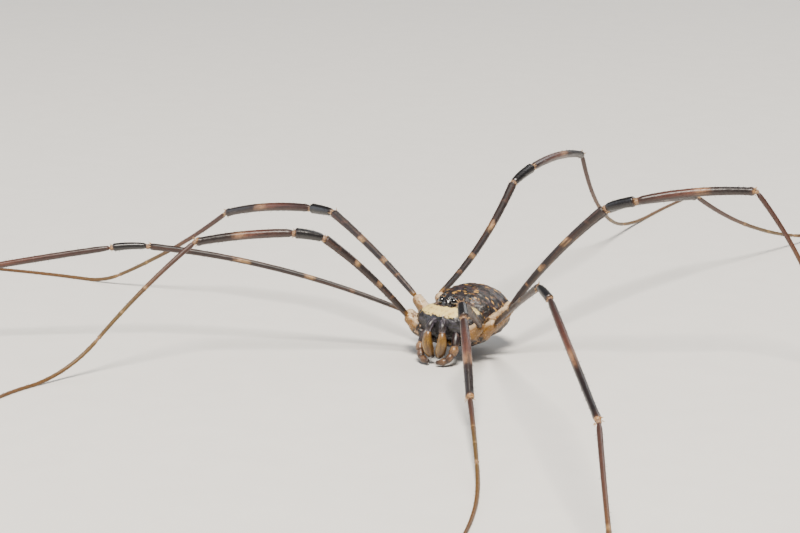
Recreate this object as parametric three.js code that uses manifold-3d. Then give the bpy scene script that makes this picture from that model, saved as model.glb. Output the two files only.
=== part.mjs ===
// A harvestman at life size, resting on eight arched legs with its body held just above the ground.
// Millimetres, +Z up. The animal faces -Y and its own left side is +X.
import * as THREE from "three";
import { mergeVertices } from "three/addons/utils/BufferGeometryUtils.js";
import Module from "manifold-3d";

const wasm = await Module();
wasm.setup();

// Gaps: between two leg segments at a joint, and along a seam of the body.
const JOINT_GAP = 0.25;
const SEAM_GAP = 0.15;
const THINNEST_RADIUS = 0.25;
const LEG_SIDES = 8;
// How far the ground cuts into the rounded underside of a foot, which leaves it a narrow flat.
const FOOT_FLATTENING = 0.05;

// Body: the abdomen is an ellipsoid behind, the carapace a lower one in front of it.
const ABDOMEN = { centre: [0, 1.45, 2.32], radii: [2.45, 2.5, 1.78] };
const CARAPACE = { centre: [0, -1.3, 2.42], radii: [2.15, 1.7, 1.2] };
const OPERCULUM = { centre: [0, -0.35, 1.05], radii: [0.75, 1.75, 0.4] };
const BELLY_FLATNESS = 0.92;
const TERGITES = 7;
const TERGITE_STEP = 0.07;
const TERGITE_EDGE = { from: -0.2, to: 0.6 };
const TERGITE_RAMP = 0.35;
const FRONT_SQUARENESS = 0.32;

// Eye mound on the carapace, and the eye on each side of it.
const EYE_MOUND = { centre: [0, -1.6, 3.52], radii: [0.48, 0.54, 0.52] };
const EYE_RADIUS = 0.22;
const EYE_PLACE = [0.42, -1.74, 3.74];

// Jaws: a dark basal segment reaches forward and down, and the swollen hand hangs from its end.
const JAW_ROOT = [0.44, -2.5, 2.6];
const JAW_ELBOW = [0.46, -3.25, 2.4];
const JAW_HAND_TOP = [0.46, -3.36, 1.98];
const JAW_TIP = [0.27, -3.3, 0.42];
const JAW_BULGE = [0.06, -0.1, 0];
const JAW_ARM_RADII = [0.3, 0.3, 0.21];
const JAW_HAND_RADII = [0.28, 0.38, 0.14];

// Palps: the upper length comes down outside the jaws to a knee, the lower one curls in beneath them.
const PALP_ROOT = [1.0, -2.45, 2.05];
const PALP_KNEE = [1.2, -3.03, 1.15];
const PALP_WRIST = [0.98, -3.35, 0.52];
const PALP_TIP = [0.28, -3.85, 0.36];
const PALP_UPPER_RADII = [0.26, 0.26, 0.29];
const PALP_LOWER_RADII = [0.29, 0.28, 0.25, 0.12];
const PALP_UPPER_BOW = [0.08, -0.08, 0];
const PALP_LOWER_BOW = [0, -0.06, -0.06];
const PALP_KNEE_CLEARANCE = 0.28;

// Legs: where each coxa starts under the body and where its trochanter ends, on the left side.
const HIPS = {
  1: { inner: [0.75, -2.0, 1.25], outer: [2.6, -2.3, 2.6] },
  2: { inner: [0.7, -1.25, 1.0], outer: [3.15, -1.4, 2.6] },
  3: { inner: [0.7, -0.4, 0.95], outer: [3.35, 0.1, 3.25] },
  4: { inner: [0.7, 0.5, 0.95], outer: [2.65, 1.9, 3.1] },
};
const COXA_RADII = [0.34, 0.45, 0.5, 0.26];
const COXA_SAG = [0, 0, -0.12];
const COXA_WIDEST = 0.86;
const COXA_MIDDLE = 0.55;

// Lengths of the segments of each pair of legs, and the radius of each kind of segment.
const SEGMENTS = ["femur", "patella", "tibia", "metatarsus", "tarsus"];
const LENGTHS = {
  1: { femur: 7.6, patella: 1.9, tibia: 6.2, metatarsus: 8.5, tarsus: 14 },
  2: { femur: 17.2, patella: 2.3, tibia: 16.5, metatarsus: 17, tarsus: 22 },
  3: { femur: 9.1, patella: 2.1, tibia: 7.4, metatarsus: 11, tarsus: 14 },
  4: { femur: 12.5, patella: 2.4, tibia: 10, metatarsus: 15, tarsus: 18 },
};
const RADII = { femur: 0.26, patella: 0.31, tibia: 0.26, metatarsus: 0.17, tarsus: 0.11 };
const SECOND_PAIR_SLIMNESS = 0.75;
const STEPS = { femur: 6, patella: 3, tibia: 7, metatarsus: 5, tarsus: 16 };
const TOE = { from: 0.85, radius: 0.42 };

// The pose, in degrees. A heading is 0 to the front, 90 to the left and -90 to the right, and a pitch
// is up from level. Each segment runs from its first heading and pitch to its second, so it can bow.
const POSE = {
  right_1: {
    femur: { heading: [-45.7, -42.4], pitch: [51.4, 38] },
    patella: { heading: [-53.5, -53.2], pitch: [17.9, 4.3] },
    tibia: { heading: [-60, -60.9], pitch: [0.3, -11.3] },
    metatarsus: { heading: [-34.6, -33.4], pitch: [-35.3, -45] },
    tarsus: { heading: [-36, 34] },
  },
  right_2: {
    femur: { heading: [-68.8, -66.8], pitch: [21.1, 4.2] },
    patella: { heading: [-56.6, -56], pitch: [4.9, -7.8] },
    tibia: { heading: [-57.8, -58], pitch: [-7.6, -12.1] },
    metatarsus: { heading: [-58.4, -57.6], pitch: [-8.4, -8.4] },
    tarsus: { heading: [-57.6, -40] },
  },
  right_3: {
    femur: { heading: [-107.7, -107.1], pitch: [32.9, 22.9] },
    patella: { heading: [-105.9, -105.9], pitch: [1.6, -3.4] },
    tibia: { heading: [-90.4, -99.4], pitch: [-0.9, -17.8] },
    metatarsus: { heading: [-93.1, -92.8], pitch: [-36.5, -23.3] },
    tarsus: { heading: [-93, -76] },
  },
  right_4: {
    femur: { heading: [180.9, 184.8], pitch: [14.6, 36.3] },
    patella: { heading: [174.1, 172], pitch: [23.2, 12.2] },
    tibia: { heading: [183.6, 188.3], pitch: [4.5, -13.9] },
    metatarsus: { heading: [192.8, 189.5], pitch: [-51.9, -10.1] },
    tarsus: { heading: [189, 178] },
  },
  left_1: {
    femur: { heading: [18.9, 19.3], pitch: [26.5, 21.5] },
    patella: { heading: [32.2, 32.3], pitch: [-10.7, -16.7] },
    tibia: { heading: [33.2, 32.1], pitch: [-28.1, -39.1] },
    metatarsus: { heading: [31, 31], pitch: [-3.3, -11.3] },
    tarsus: { heading: [31, 14] },
  },
  left_2: {
    femur: { heading: [36.5, 36.5], pitch: [22.1, 20.1] },
    patella: { heading: [42.4, 42.4], pitch: [-1.3, -7.3] },
    tibia: { heading: [34.2, 36.2], pitch: [-5.4, -9.8] },
    metatarsus: { heading: [28.8, 30.6], pitch: [-20.2, -17.9] },
    tarsus: { heading: [31, 48] },
  },
  left_3: {
    femur: { heading: [104.5, 103.5], pitch: [56.5, 40.7] },
    patella: { heading: [93.3, 93.2], pitch: [22.1, 11.9] },
    tibia: { heading: [121.5, 120.5], pitch: [12.3, -3.4] },
    metatarsus: { heading: [106.6, 105.2], pitch: [-50.9, -74.6] },
    tarsus: { heading: [105, 88] },
  },
  left_4: {
    femur: { heading: [176.3, 175.3], pitch: [25.5, 12.2] },
    patella: { heading: [178.9, 179.3], pitch: [2.8, -1.2] },
    tibia: { heading: [172.9, 173.6], pitch: [-3.9, -8.7] },
    metatarsus: { heading: [172, 172], pitch: [-29.3, -11.2] },
    tarsus: { heading: [172, 160] },
  },
};

const skins = {
  shell: new THREE.MeshStandardMaterial({ color: "#3a2418", roughness: 0.55 }),
  carapace: new THREE.MeshStandardMaterial({ color: "#c9a04f", roughness: 0.5 }),
  eye: new THREE.MeshStandardMaterial({ color: "#0b090a", roughness: 0.12 }),
  jaw: new THREE.MeshStandardMaterial({ color: "#9a6a2a", roughness: 0.4 }),
  coxa: new THREE.MeshStandardMaterial({ color: "#c58d42", roughness: 0.5 }),
  leg: new THREE.MeshStandardMaterial({ color: "#4a2c20", roughness: 0.45 }),
  foot: new THREE.MeshStandardMaterial({ color: "#80552a", roughness: 0.5 }),
};

const vector = (list) => new THREE.Vector3(...list);
const radians = THREE.MathUtils.degToRad;
const lerp = THREE.MathUtils.lerp;
const up = new THREE.Vector3(0, 0, 1);
const front = new THREE.Vector3(0, -1, 0);
// A limb rising or falling more steeply than this takes its rings' lie from the front, not from above.
const STEEP = 0.8;

// A closed geometry as a solid that can be joined and cut, and back again.
function solidOf(geometry) {
  const bare = geometry.clone();
  bare.deleteAttribute("normal");
  bare.deleteAttribute("uv");
  const merged = mergeVertices(bare, 1e-4);
  return new wasm.Manifold(
    new wasm.Mesh({
      numProp: 3,
      vertProperties: merged.attributes.position.array,
      triVerts: new Uint32Array(merged.index.array),
    }),
  );
}

function geometryOf(solid) {
  const mesh = solid.getMesh();
  return new THREE.BufferGeometry()
    .setAttribute("position", new THREE.BufferAttribute(mesh.vertProperties, 3))
    .setIndex(new THREE.BufferAttribute(mesh.triVerts, 1));
}

const largest = (solid) => solid.decompose().sort((a, b) => b.volume() - a.volume())[0];

// The direction of a heading and a pitch in degrees.
function direction(heading, pitch) {
  const level = Math.cos(radians(pitch));
  return new THREE.Vector3(
    Math.sin(radians(heading)) * level,
    -Math.cos(radians(heading)) * level,
    Math.sin(radians(pitch)),
  );
}

// The points of an arc of a given length whose direction is given at each share of its length.
function walk(start, length, directionAt, steps = 24) {
  const points = [start.clone()];
  for (let i = 0; i < steps; i++) {
    const stride = directionAt((i + 0.5) / steps).multiplyScalar(length / steps);
    points.push(points.at(-1).clone().add(stride));
  }
  return points;
}

// A closed round limb along a curve: a cylinder whose rings are moved onto the curve.
function limb(curve, radiusAt, sides, steps) {
  const geometry = new THREE.CylinderGeometry(1, 1, 1, sides, steps);
  const vertices = geometry.attributes.position;
  const whole = curve.getPointAt(1).sub(curve.getPointAt(0)).normalize();
  const reference = Math.abs(whole.z) > STEEP ? front : up;
  for (let i = 0; i < vertices.count; i++) {
    const share = THREE.MathUtils.clamp(0.5 - vertices.getY(i), 0, 1);
    const tangent = curve.getTangentAt(share);
    const side = new THREE.Vector3().crossVectors(tangent, reference).normalize();
    const normal = new THREE.Vector3().crossVectors(tangent, side);
    const radius = radiusAt(share);
    const point = curve
      .getPointAt(share)
      .addScaledVector(side, vertices.getX(i) * radius)
      .addScaledVector(normal, vertices.getZ(i) * radius);
    vertices.setXYZ(i, point.x, point.y, point.z);
  }
  return geometry;
}

const curveOf = (points) => new THREE.CatmullRomCurve3(points);

// A limb through a few points, with a radius at each, evened out between them.
function limbThrough(places, radii, sides, steps) {
  const radiusAt = (share) => {
    const at = share * (radii.length - 1);
    const low = Math.min(Math.floor(at), radii.length - 2);
    return lerp(radii[low], radii[low + 1], THREE.MathUtils.smoothstep(at - low, 0, 1));
  };
  return limb(curveOf(places.map(vector)), radiusAt, sides, steps);
}

// An ellipsoid with its poles in front and behind. The grow value moves its whole surface outwards.
function ellipsoid({ centre, radii }, around, along, grow = 0) {
  const geometry = new THREE.SphereGeometry(1, around, along);
  geometry.rotateX(Math.PI / 2);
  geometry.scale(...radii.map((r) => r + grow));
  geometry.translate(...centre);
  return geometry;
}

const mirrored = (list, side) => [list[0] * side, list[1], list[2]];

// A point a share of the way from one to another, moved aside from the straight line.
function between(from, to, share, aside = [0, 0, 0]) {
  return from.map((value, i) => lerp(value, to[i], share) + aside[i]);
}

// Each tergite is a low step on the back of the abdomen that rises towards its rear edge.
function tergiteRise(y, z) {
  const share = (y - (ABDOMEN.centre[1] - ABDOMEN.radii[1])) / (2 * ABDOMEN.radii[1]);
  const phase = share * TERGITES - Math.floor(share * TERGITES);
  const height = z - ABDOMEN.centre[2];
  const onBack = THREE.MathUtils.smoothstep(height, TERGITE_EDGE.from, TERGITE_EDGE.to);
  const ramp = THREE.MathUtils.smoothstep(phase, 0, TERGITE_RAMP);
  return TERGITE_STEP * onBack * ramp * (1 - phase ** 6);
}

function abdomenSolid(grow) {
  const geometry = ellipsoid(ABDOMEN, 36, 35, grow);
  const vertices = geometry.attributes.position;
  for (let i = 0; i < vertices.count; i++) {
    const z = vertices.getZ(i);
    const flatness = z < ABDOMEN.centre[2] ? BELLY_FLATNESS : 1;
    const rise = grow > 0 ? TERGITE_STEP : tergiteRise(vertices.getY(i), z);
    vertices.setZ(i, ABDOMEN.centre[2] + (z - ABDOMEN.centre[2]) * flatness + rise);
  }
  return solidOf(geometry).add(solidOf(ellipsoid(OPERCULUM, 16, 12, grow)));
}

function carapaceSolid(grow) {
  const geometry = ellipsoid(CARAPACE, 32, 22, grow);
  const vertices = geometry.attributes.position;
  for (let i = 0; i < vertices.count; i++) {
    const forward = Math.max(0, (CARAPACE.centre[1] - vertices.getY(i)) / CARAPACE.radii[1]);
    vertices.setX(i, vertices.getX(i) * (1 + FRONT_SQUARENESS * forward * (1 - forward)));
  }
  return solidOf(geometry);
}

const eyeMoundSolid = (grow) => solidOf(ellipsoid(EYE_MOUND, 20, 14, grow));

// A limb as a solid, on one side of the body. The grow value makes it stouter.
function sideLimb(places, radii, side, sides, steps, grow = 0) {
  return solidOf(
    limbThrough(
      places.map((place) => mirrored(place, side)),
      radii.map((radius) => radius + grow),
      sides,
      steps,
    ),
  );
}

function jawSolid(side, grow = 0) {
  const bulge = between(JAW_HAND_TOP, JAW_TIP, 0.5, JAW_BULGE);
  const arm = sideLimb([JAW_ROOT, JAW_ELBOW, JAW_HAND_TOP], JAW_ARM_RADII, side, 10, 6, grow);
  return arm.add(sideLimb([JAW_HAND_TOP, bulge, JAW_TIP], JAW_HAND_RADII, side, 10, 8, grow));
}

function palpUpperSolid(side) {
  const middle = between(PALP_ROOT, PALP_KNEE, 0.5, PALP_UPPER_BOW);
  return sideLimb([PALP_ROOT, middle, PALP_KNEE], PALP_UPPER_RADII, side, 8, 5);
}

function palpLowerSolid(side) {
  const start = between(PALP_KNEE, PALP_WRIST, PALP_KNEE_CLEARANCE);
  const middle = between(PALP_WRIST, PALP_TIP, 0.5, PALP_LOWER_BOW);
  return sideLimb([start, PALP_WRIST, middle, PALP_TIP], PALP_LOWER_RADII, side, 8, 8);
}

// A coxa with its trochanter: it widens outwards and ends in a rounded knob.
function coxaSolid(number, side, grow = 0) {
  const { inner, outer } = HIPS[number];
  const middle = between(inner, outer, COXA_MIDDLE, COXA_SAG);
  const widest = between(inner, outer, COXA_WIDEST);
  return sideLimb([inner, middle, widest, outer], COXA_RADII, side, 10, 8, grow);
}

// How wide a leg segment is along its length: it swells a little towards its far end, and the foot tapers.
function swelling(segment, share) {
  if (segment === "femur") return lerp(0.86, 1.04, share);
  if (segment === "patella") return 0.92 + 0.12 * Math.sin(share * Math.PI);
  if (segment === "tarsus") return lerp(1, TOE.radius, Math.max(0, (share - TOE.from) / (1 - TOE.from)));
  return lerp(1.02, 0.88, share);
}

// Where a foot's tarsus runs: it bends evenly until it lies level on the ground, and then along it.
function tarsusPoints(start, pitch, headings, length, rest) {
  const dive = radians(-pitch);
  const bend = ((start.z - rest) * dive) / (1 - Math.cos(dive)) / length;
  return walk(
    start,
    length,
    (share) =>
      direction(
        lerp(headings[0], headings[1], share),
        share < bend ? pitch * (1 - share / bend) : 0,
      ),
    96,
  );
}

// The places of one leg's segments, from its hip to its toe.
function legCurves(number, sideName) {
  const pose = POSE[sideName + "_" + number];
  let start = vector(mirrored(HIPS[number].outer, sideName === "left" ? 1 : -1));
  const curves = {};
  for (const segment of SEGMENTS) {
    const { heading, pitch } = pose[segment];
    const length = LENGTHS[number][segment];
    const points =
      segment === "tarsus"
        ? tarsusPoints(start, pose.metatarsus.pitch[1], heading, length, THINNEST_RADIUS - FOOT_FLATTENING)
        : walk(start, length, (share) =>
            direction(lerp(...heading, share), lerp(...pitch, share)),
          );
    curves[segment] = curveOf(points);
    start = points.at(-1);
  }
  return curves;
}

function segmentGeometry(curve, number, segment) {
  const slimness = number === 2 ? SECOND_PAIR_SLIMNESS : 1;
  const radius = Math.max(RADII[segment] * slimness, THINNEST_RADIUS);
  const length = curve.getLength();
  const trimmed = [];
  const from = JOINT_GAP / 2 / length;
  const to = segment === "tarsus" ? 1 : 1 - from;
  const count = STEPS[segment] * 3;
  for (let i = 0; i <= count; i++) trimmed.push(curve.getPointAt(lerp(from, to, i / count)));
  const widthAt = (share) => radius * swelling(segment, share);
  return limb(curveOf(trimmed), widthAt, LEG_SIDES, STEPS[segment]);
}

const harvestman = new THREE.Group();

function place(name, geometry, skin) {
  const mesh = new THREE.Mesh(geometry, skins[skin]);
  mesh.name = name;
  harvestman.add(mesh);
}

function placeSolid(name, solid, skin) {
  place(name, geometryOf(largest(solid)), skin);
}

// Body: the carapace is whole, and each neighbour is cut clear of what it meets.
const ground = solidOf(new THREE.BoxGeometry(400, 400, 10).translate(0, 0, -5));
const carapaceRoom = carapaceSolid(SEAM_GAP);
const abdomenRoom = abdomenSolid(SEAM_GAP);
placeSolid("carapace", carapaceSolid(0).subtract(eyeMoundSolid(SEAM_GAP)), "carapace");
placeSolid("abdomen", abdomenSolid(0).subtract(carapaceRoom), "shell");

const eyes = { left: 1, right: -1 };
function eyeAt(side, grow) {
  const shape = { centre: mirrored(EYE_PLACE, side), radii: Array(3).fill(EYE_RADIUS) };
  return solidOf(ellipsoid(shape, 14, 10, grow));
}
let mound = eyeMoundSolid(0);
for (const side of Object.values(eyes)) mound = mound.subtract(eyeAt(side, SEAM_GAP / 2));
placeSolid("eye_mound", mound, "eye");
for (const [name, side] of Object.entries(eyes)) placeSolid("eye_" + name, eyeAt(side, 0), "eye");

for (const [name, side] of Object.entries(eyes)) {
  const jawRoom = jawSolid(side, SEAM_GAP);
  placeSolid("jaw_" + name, jawSolid(side).subtract(carapaceRoom), "jaw");
  const palpUpper = palpUpperSolid(side).subtract(carapaceRoom).subtract(jawRoom);
  placeSolid("palp_" + name + "_upper", palpUpper, "jaw");
  placeSolid("palp_" + name + "_lower", palpLowerSolid(side).subtract(jawRoom), "jaw");
}

for (const [name, side] of Object.entries(eyes)) {
  let taken = carapaceRoom.add(abdomenRoom).add(jawSolid(side, SEAM_GAP));
  for (const number of [1, 2, 3, 4]) {
    const leg = "leg_" + name + "_" + number;
    placeSolid(leg + "_coxa", coxaSolid(number, side).subtract(taken), "coxa");
    taken = taken.add(coxaSolid(number, side, SEAM_GAP));
    const curves = legCurves(number, name);
    for (const segment of SEGMENTS) {
      const solid = solidOf(segmentGeometry(curves[segment], number, segment)).subtract(ground);
      placeSolid(leg + "_" + segment, solid, segment === "tarsus" ? "foot" : "leg");
    }
  }
}

// The origin is on the ground, under the middle of the spread of the feet.
const spread = new THREE.Box3().setFromObject(harvestman);
const middle = spread.getCenter(new THREE.Vector3());
harvestman.position.set(-middle.x, -middle.y, -spread.min.z);

export default harvestman;
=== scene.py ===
# %% [markdown]
# A harvestman at life size
#
# This lesson dresses a plain solid model of a harvestman, a long-legged relative of the spiders. The
# solids are loaded first and fix every size. The pieces made here cover them: plates with flecks and tiny
# warts, legs with tan rings, and hairs too fine to be solids. They could be sculpted by hand, but formulas
# keep each piece fitted to its solid and give the same animal on every run.

# %% Load the solid model
import math
import random

import bmesh
import bpy
from mathutils import Matrix, Vector, noise


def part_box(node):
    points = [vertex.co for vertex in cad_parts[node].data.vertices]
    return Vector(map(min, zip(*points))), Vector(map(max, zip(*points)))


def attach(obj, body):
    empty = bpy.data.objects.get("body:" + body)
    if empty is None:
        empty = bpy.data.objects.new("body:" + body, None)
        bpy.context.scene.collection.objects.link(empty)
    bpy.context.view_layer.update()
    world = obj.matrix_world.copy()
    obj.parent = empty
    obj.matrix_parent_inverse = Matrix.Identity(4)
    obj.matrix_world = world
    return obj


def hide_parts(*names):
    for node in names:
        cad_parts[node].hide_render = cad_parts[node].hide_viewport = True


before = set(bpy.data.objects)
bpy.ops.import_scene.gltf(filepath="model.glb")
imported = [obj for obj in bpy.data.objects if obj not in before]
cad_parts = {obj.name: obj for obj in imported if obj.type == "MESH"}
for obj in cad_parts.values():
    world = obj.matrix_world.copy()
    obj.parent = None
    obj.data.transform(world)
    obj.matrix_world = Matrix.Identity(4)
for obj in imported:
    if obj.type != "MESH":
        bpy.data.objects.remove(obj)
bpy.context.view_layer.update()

# %% [markdown]
# Where the body is
#
# The model's own origin is on the ground under the middle of its feet, well away from the body. Everything
# below is drawn in millimetres from a point under the middle of the body instead, with the face towards
# -Y. The carapace's box gives the way from one to the other.

# %% Millimetres from the body's own centre
CARAPACE_CENTRE_Y = -1.3
low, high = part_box("carapace")
BODY_AT = Vector(((low[0] + high[0]) / 2 * 1000, (low[1] + high[1]) / 2 * 1000 - CARAPACE_CENTRE_Y, 0))
TO_METRES = Matrix.Scale(0.001, 4) @ Matrix.Translation(BODY_AT)
print("the body stands at", [round(v, 2) for v in BODY_AT], "mm")

# %% [markdown]
# The camera
#
# The photograph looks at the animal's face from a little to its left and 13 degrees above it, with a long
# lens. It could be aimed by eye, but its place and lens come from matching the legs and the body to the
# picture.

# %% Place the camera
AZIMUTH, ELEVATION = math.radians(30), math.radians(13)
CAMERA_AT = Vector((75.2, -138.0, 41.9))
LENS, SENSOR_WIDTH = 115.2, 36
NEAREST = 0.005
BODY_HEIGHT = 3
backwards = Vector(
    (
        math.sin(AZIMUTH) * math.cos(ELEVATION),
        -math.cos(AZIMUTH) * math.cos(ELEVATION),
        math.sin(ELEVATION),
    )
)
camera = bpy.data.objects.new("Camera", bpy.data.cameras.new("Camera"))
camera.data.sensor_width, camera.data.lens, camera.data.clip_start = SENSOR_WIDTH, LENS, NEAREST
camera.location = TO_METRES @ CAMERA_AT
camera.rotation_euler = backwards.to_track_quat("Z", "Y").to_euler()
bpy.context.collection.objects.link(camera)
bpy.context.scene.camera = camera
print("the camera is", round((CAMERA_AT - Vector((0, 0, BODY_HEIGHT))).length), "mm away")

# %% [markdown]
# Colours and nodes
#
# Colours are written as they look on a screen, and one function turns them into the linear values that the
# renderer wants. Another one adds a node with its settings, values and links, so that a material reads
# from top to bottom. A third lays one colour over another.


# %% Helpers for materials
def colour(code):
    """The linear colour of a screen's colour code."""
    parts = [int(code[i : i + 2], 16) / 255 for i in (1, 3, 5)]
    return (*[c / 12.92 if c <= 0.04045 else ((c + 0.055) / 1.055) ** 2.4 for c in parts], 1.0)


def add(tree, kind, inputs=None, **settings):
    """Add a node. An input is a value, a colour code, or another node's output, which is linked."""
    node = tree.nodes.new("ShaderNode" + kind)
    for name, value in settings.items():
        setattr(node, name, value)
    for socket, value in (inputs or {}).items():
        if isinstance(value, bpy.types.NodeSocket):
            tree.links.new(value, node.inputs[socket])
        else:
            node.inputs[socket].default_value = colour(value) if isinstance(value, str) else value
    return node


def set_stops(ramp, stops):
    """Give a colour ramp its stops, each a place from 0 to 1 and a colour code."""
    elements = ramp.color_ramp.elements
    while len(elements) > 1:
        elements.remove(elements[-1])
    elements[0].position, elements[0].color = stops[0][0], colour(stops[0][1])
    for position, code in stops[1:]:
        elements.new(position).color = colour(code)
    return ramp


# The Mix node has many sockets of the same name. These are the numbers of those for colours.
FACTOR, FIRST, SECOND, MIXED = 0, 6, 7, 2


def lay_over(tree, ground, value, edges, code, strength=1.0):
    """Lay a colour over another, where a value goes from its first edge to its second."""
    inputs = {"Value": value, "From Min": edges[0], "From Max": edges[1], "To Max": strength}
    mask = add(tree, "MapRange", inputs).outputs["Result"]
    inputs = {FACTOR: mask, FIRST: ground, SECOND: code}
    return add(tree, "Mix", inputs, data_type="RGBA").outputs[MIXED]


print("a mid grey on the screen is", round(colour("#808080")[0], 3), "of full light")

# %% [markdown]
# A start for every material
#
# A harvestman's skin is a hard cuticle of chitin and protein with a thin layer of wax. Its refractive index
# is about 1.56, and it is slightly glossy. A thin coat imitates the wax where a part is smooth. Only the
# roughness and the coat change from one part of the animal to another, so one function sets them.

# %% Chitin's index, roughness and coat
CHITIN_IOR = 1.56


def new_material(name, roughness, coat=0.0, coat_roughness=0.2):
    material = bpy.data.materials.new(name)
    material.use_nodes = True
    shader = material.node_tree.nodes["Principled BSDF"]
    shader.inputs["IOR"].default_value = CHITIN_IOR
    shader.inputs["Roughness"].default_value = roughness
    shader.inputs["Coat Weight"].default_value = coat
    shader.inputs["Coat Roughness"].default_value = coat_roughness
    return material, material.node_tree, shader


mirrored = ((CHITIN_IOR - 1) / (CHITIN_IOR + 1)) ** 2
print(f"chitin mirrors {mirrored:.1%} of the light that falls straight on it")

# %% [markdown]
# Leg cuticle
#
# The legs are ringed and finely streaked. Rings could be painted on a picture, but here a colour ramp
# reads the segment's own UV map, in which the second coordinate goes from its root to its tip, so that
# they follow the leg as it bends. A noise half a millimetre wide frays their edges, one that is stretched
# along the leg draws the streaks, and one of a tenth of a millimetre makes the grain and a faint relief.
# Sizes here are in metres.

# %% Ringed cuticle
FRAYING, GRAIN, GRAIN_HEIGHT = 0.0005, 0.00011, 0.00003
STREAKS_ALONG = 2.5


def upwards(tree, around):
    """How far up a limb's side faces: 1 on top and -1 below. It reads the first UV coordinate."""
    turn = add(tree, "Math", {0: around, 1: 2 * math.pi}, operation="MULTIPLY").outputs[0]
    return add(tree, "Math", {0: turn}, operation="COSINE").outputs[0]


def ringed_cuticle(name, stops, roughness, coat=0.0, fray=0.05, grain=0.35, shaded_underside=None, streaks_and_sheen=None):
    """Chitin with colour stops from a limb's root to its tip.

    Fray is how far the rings' edges wander, as a share of the limb. Grain is how strong the speckles are.
    Shaded underside is a darker colour, painted shade on the side facing away from the limb's top.
    Streaks and sheen give a colour, a strength and a number round the limb: streaks, and on the jaws' arms
    a painted sheen.
    """
    material, tree, shader = new_material(name, roughness, coat)
    place = add(tree, "TexCoord").outputs
    uv = add(tree, "SeparateXYZ", {"Vector": place["UV"]}).outputs
    ragged = {"Vector": place["Object"], "Scale": 1 / FRAYING, "Detail": 3.0}
    wander = add(tree, "TexNoise", ragged).outputs["Fac"]
    shift = add(tree, "Math", {0: wander, 1: fray, 2: -fray / 2}, operation="MULTIPLY_ADD").outputs[0]
    along = add(tree, "Math", {0: uv["Y"], 1: shift}, operation="ADD").outputs[0]
    tint = set_stops(add(tree, "ValToRGB", {"Fac": along}), stops).outputs["Color"]
    # Painted shade: the side facing away from the limb's top is darkened towards this colour.
    if shaded_underside:
        tint = lay_over(tree, tint, upwards(tree, uv["X"]), (0.1, -0.8), shaded_underside)
    if streaks_and_sheen:
        code, strength, count = streaks_and_sheen
        stretch = {"Vector": place["UV"], "Scale": (count, STREAKS_ALONG, 1)}
        drawn = add(tree, "Mapping", stretch).outputs["Vector"]
        lines = add(tree, "TexNoise", {"Vector": drawn, "Scale": 1.0, "Detail": 2.0}).outputs["Fac"]
        tint = lay_over(tree, tint, lines, (0.5, 0.62), code, strength)
    speckle = {"Vector": place["Object"], "Scale": 1 / GRAIN, "Detail": 2.0}
    fine = add(tree, "TexNoise", speckle).outputs["Fac"]
    edges = {"Value": fine, "From Min": 0.3, "From Max": 0.7, "To Min": 1 - grain, "To Max": 1 + grain}
    shade = add(tree, "MapRange", edges).outputs["Result"]
    layers = {FACTOR: 1.0, FIRST: tint, SECOND: shade}
    tint = add(tree, "Mix", layers, data_type="RGBA", blend_type="MULTIPLY").outputs[MIXED]
    bump = {"Height": fine, "Strength": 0.35, "Distance": GRAIN_HEIGHT}
    tree.links.new(tint, shader.inputs["Base Color"])
    tree.links.new(add(tree, "Bump", bump).outputs["Normal"], shader.inputs["Normal"])
    return material


# %% Materials of the legs
# The femurs and tibias get a darker underside, which is painted shade.
DARK, TAN, BROWN = "#150a09", "#95744a", "#4a271d"
femur_cuticle = ringed_cuticle(
    "femur chitin",
    [
        (0.0, "#8f6420"), (0.03, "#5d4018"), (0.06, DARK), (0.2, DARK), (0.225, "#6b4c33"), (0.24, DARK),
        (0.35, DARK), (0.375, TAN), (0.4, "#7a5a3e"), (0.415, DARK), (0.6, "#1d100e"), (0.635, TAN),
        (0.665, "#a07b58"), (0.685, "#241310"), (0.83, DARK), (0.85, "#3d2820"), (0.87, DARK),
        (1.0, "#1f1312"),
    ],
    roughness=0.5, coat=0.05, fray=0.09, shaded_underside="#2a1610", streaks_and_sheen=("#3b241b", 0.8, 9),
)
patella_cuticle = ringed_cuticle(
    "patella chitin",
    [(0.0, "#5c4638"), (0.04, "#251a18"), (0.1, "#0c0809"), (0.94, "#0b0709"), (1.0, "#4a3529")],
    roughness=0.36, coat=0.25, grain=0.2,
)
tibia_cuticle = ringed_cuticle(
    "tibia chitin",
    [
        (0.0, "#4a2d24"), (0.03, "#2c1813"), (0.14, "#38201a"), (0.3, BROWN), (0.46, "#5a3629"),
        (0.53, "#8f6a4c"), (0.58, "#7d5a41"), (0.63, "#27150f"), (0.72, "#170c0b"), (0.94, "#140a0a"),
        (0.975, "#3a241b"), (0.985, "#9a7248"), (1.0, "#a37d52"),
    ],
    roughness=0.42, coat=0.1, fray=0.08, grain=0.28, shaded_underside="#2a1510", streaks_and_sheen=("#1f110e", 0.7, 9),
)
metatarsus_cuticle = ringed_cuticle(
    "metatarsus chitin",
    [
        (0.0, "#3a211a"), (0.3, "#4a2d22"), (0.47, "#58391f"), (0.49, "#94734a"), (0.505, "#573b1e"),
        (0.72, "#5c451d"), (0.74, "#8f7145"), (0.755, "#5c451d"), (0.965, "#5a4019"), (1.0, "#94734a"),
    ],
    roughness=0.45, fray=0.02, grain=0.25,
)
tarsus_cuticle = ringed_cuticle(
    "tarsus chitin",
    [(0.0, "#8c6b41"), (0.03, "#5e4319"), (0.5, "#5f3e16"), (1.0, "#482e12")],
    roughness=0.5, grain=0.25,
)
joint_skin = ringed_cuticle("soft joint skin", [(0.0, "#7d604a"), (1.0, "#8d6d50")], 0.5, grain=0.3)
hair_chitin = ringed_cuticle("hair chitin", [(0.0, "#241612"), (1.0, "#33221b")], 0.4, grain=0.1)
tooth_chitin = ringed_cuticle("tooth chitin", [(0.0, "#b39064"), (1.0, "#c4a477")], 0.4, grain=0.2)
print("made", len(bpy.data.materials), "materials for the legs")

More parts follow.
